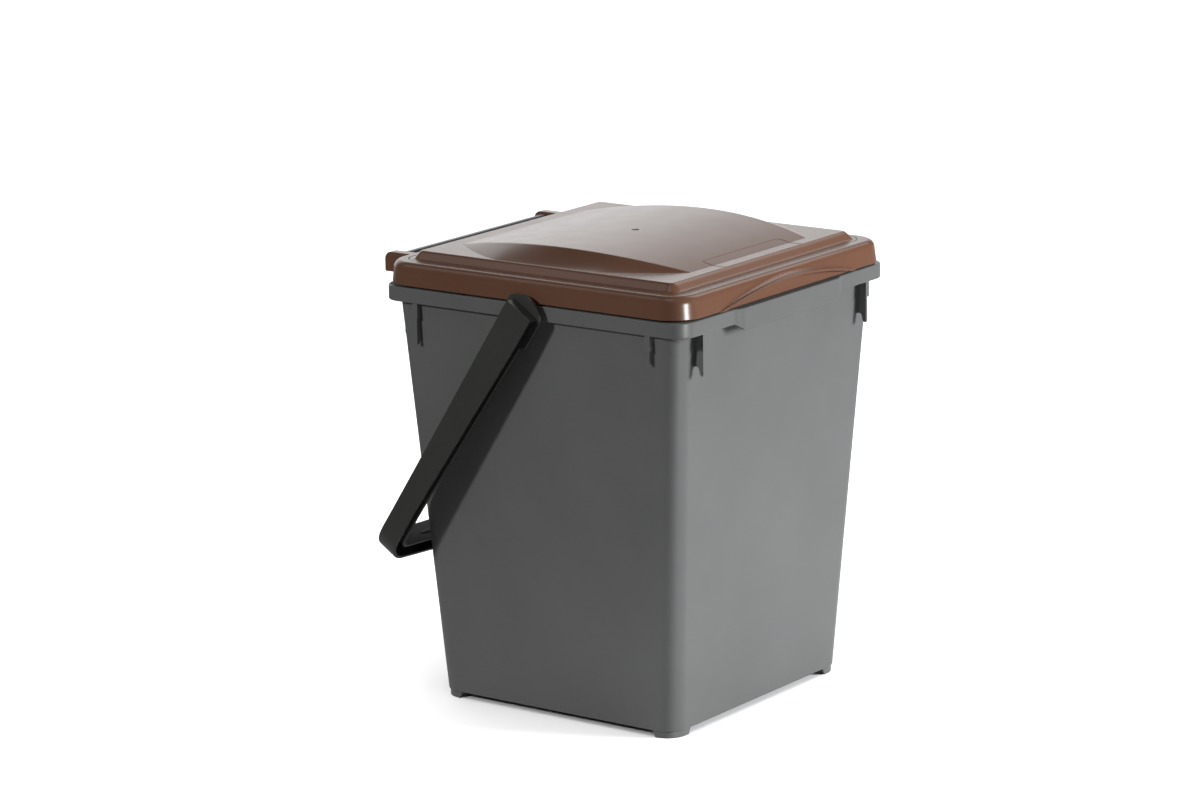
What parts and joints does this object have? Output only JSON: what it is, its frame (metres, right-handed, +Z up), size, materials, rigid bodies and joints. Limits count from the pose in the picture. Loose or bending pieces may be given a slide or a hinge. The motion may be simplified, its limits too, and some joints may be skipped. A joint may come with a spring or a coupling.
{
  "type": "kitchen compost caddy with hinged lid",
  "caption": "Tapered square kitchen waste bucket with a flanged rim, a hinged domed lid with a pull lip, and a swinging carry handle.",
  "frame": {"origin": "middle of the whole outline on the floor, under the feet", "axes": "+Z up, -Y towards the front with the pull lip, +Y towards the hinge, +X to the right seen from the front"},
  "size_m": [0.2616, 0.2628, 0.3049],
  "materials": {
    "bucket_plastic": "satin",
    "lid_plastic": "satin",
    "handle_plastic": "satin"
  },
  "bodies": {
    "bucket": {"bucket_tub": "bucket_plastic", "rim_collar": "bucket_plastic", "rim_apron": "bucket_plastic", "stacking_fins": "bucket_plastic", "base_feet": "bucket_plastic", "hinge_bar": "bucket_plastic", "hinge_brackets": "bucket_plastic", "pivot_boss_left": "bucket_plastic", "pivot_boss_right": "bucket_plastic"},
    "lid": {"lid_panel": "lid_plastic", "lid_dome": "lid_plastic", "lid_pull_lip": "lid_plastic", "lid_seat_ring": "lid_plastic", "hinge_hook_left": "lid_plastic", "hinge_hook_right": "lid_plastic"},
    "handle": {"handle_arm_left": "handle_plastic", "handle_arm_right": "handle_plastic", "handle_grip": "handle_plastic", "grip_rib": "handle_plastic", "pivot_head_left": "handle_plastic", "pivot_head_right": "handle_plastic", "pivot_stud_left": "handle_plastic", "pivot_stud_right": "handle_plastic"}
  },
  "joints": [
    {"name": "lid_hinge", "type": "hinge", "parent": "bucket", "child": "lid", "pos_m": [0, 0.1239, 0.2815], "axis": [-1, 0, 0], "range_deg": [0, 110]},
    {"name": "handle_pivot", "type": "hinge", "parent": "bucket", "child": "handle", "pos_m": [0, -0.0058, 0.266], "axis": [1, 0, 0], "range_deg": [0, 289]}
  ]
}
